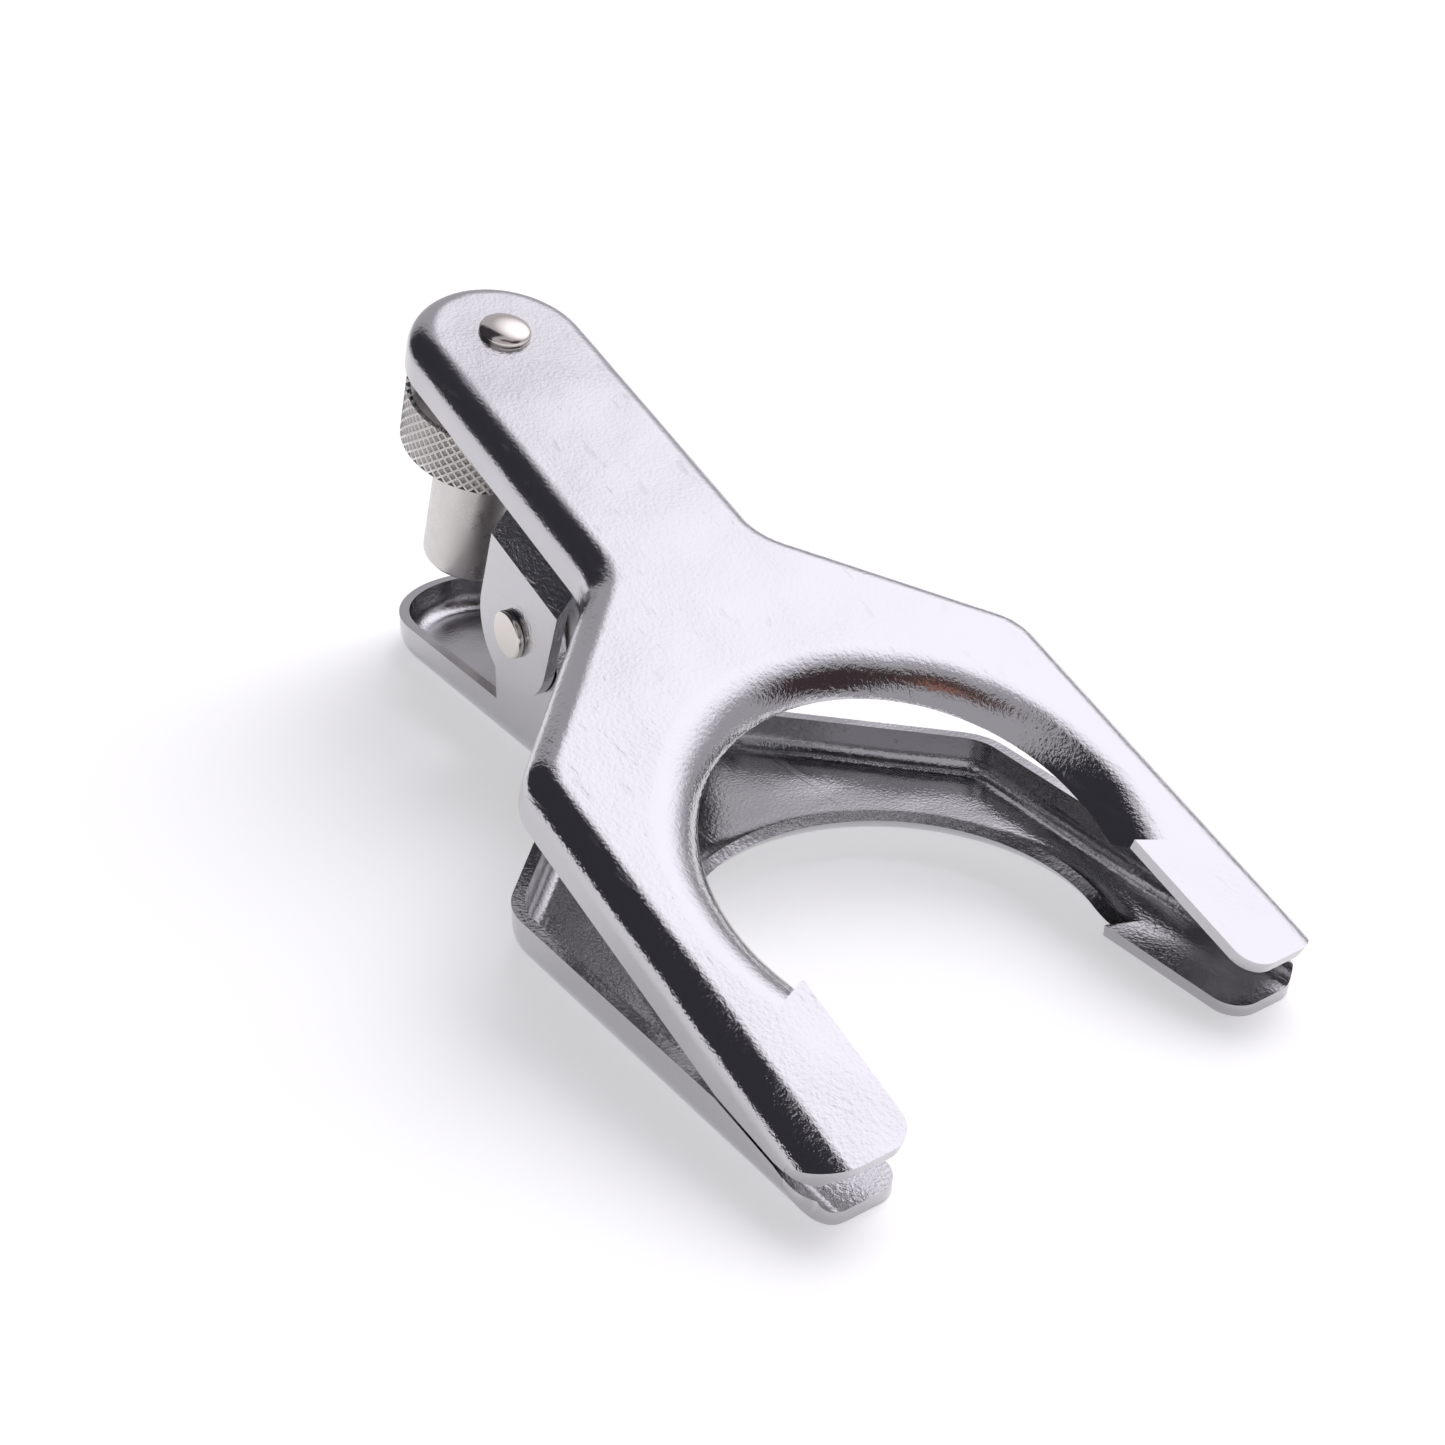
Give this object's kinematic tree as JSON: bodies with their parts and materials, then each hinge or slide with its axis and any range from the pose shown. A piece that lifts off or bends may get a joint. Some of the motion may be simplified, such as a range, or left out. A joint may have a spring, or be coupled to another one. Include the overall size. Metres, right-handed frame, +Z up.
{
  "type": "spherical joint clamp",
  "caption": "Sprung steel pinch clamp with two pressed fork jaws on one pivot and a knurled nut that locks it closed on a spherical ground joint.",
  "frame": {"origin": "on the lower jaw's flat underside, straight below the pivot pin", "axes": "+X towards the fork's tips, +Y across the clamp along the pivot pin, +Z up, away from the surface that the lower jaw lies on"},
  "size_m": [0.0942, 0.0492, 0.0365],
  "materials": {
    "jaw_steel": "bright pressed stainless sheet with fine scuffs",
    "pin_steel": "bright",
    "spring_wire": "bright drawn wire",
    "stud_steel": "bright",
    "nut_metal": "satin nickel"
  },
  "bodies": {
    "lower": {"lower_jaw": "jaw_steel", "closing_spring": "spring_wire"},
    "upper": {"upper_jaw": "jaw_steel", "pivot_pin": "pin_steel", "lock_stud": "stud_steel"},
    "nut_slider": {"nut_sleeve": "nut_metal"},
    "nut_knob": {"nut_head": "nut_metal"}
  },
  "joints": [
    {"name": "jaw_pivot", "type": "hinge", "parent": "lower", "child": "upper", "pos_m": [0, 0, 0.0136], "axis": [0, -1, 0], "range_deg": [0, 18], "stiffness_Nm_per_rad": 0.28, "springref_deg": -45.84, "deforming": ["closing_spring"]},
    {"name": "nut_travel", "type": "slide", "parent": "upper", "child": "nut_slider", "axis": [0.342, 0, 0.9397], "range_m": [0, 0.00211]},
    {"name": "nut_turn", "type": "hinge", "parent": "nut_slider", "child": "nut_knob", "pos_m": [-0.01696, 0, 0.03425], "axis": [0.342, 0, 0.9397], "range_deg": [0, 1080]}
  ],
  "couplings": [
    {"joint": "nut_travel", "follows": "nut_turn", "m_per_rad": 0.00011141}
  ]
}
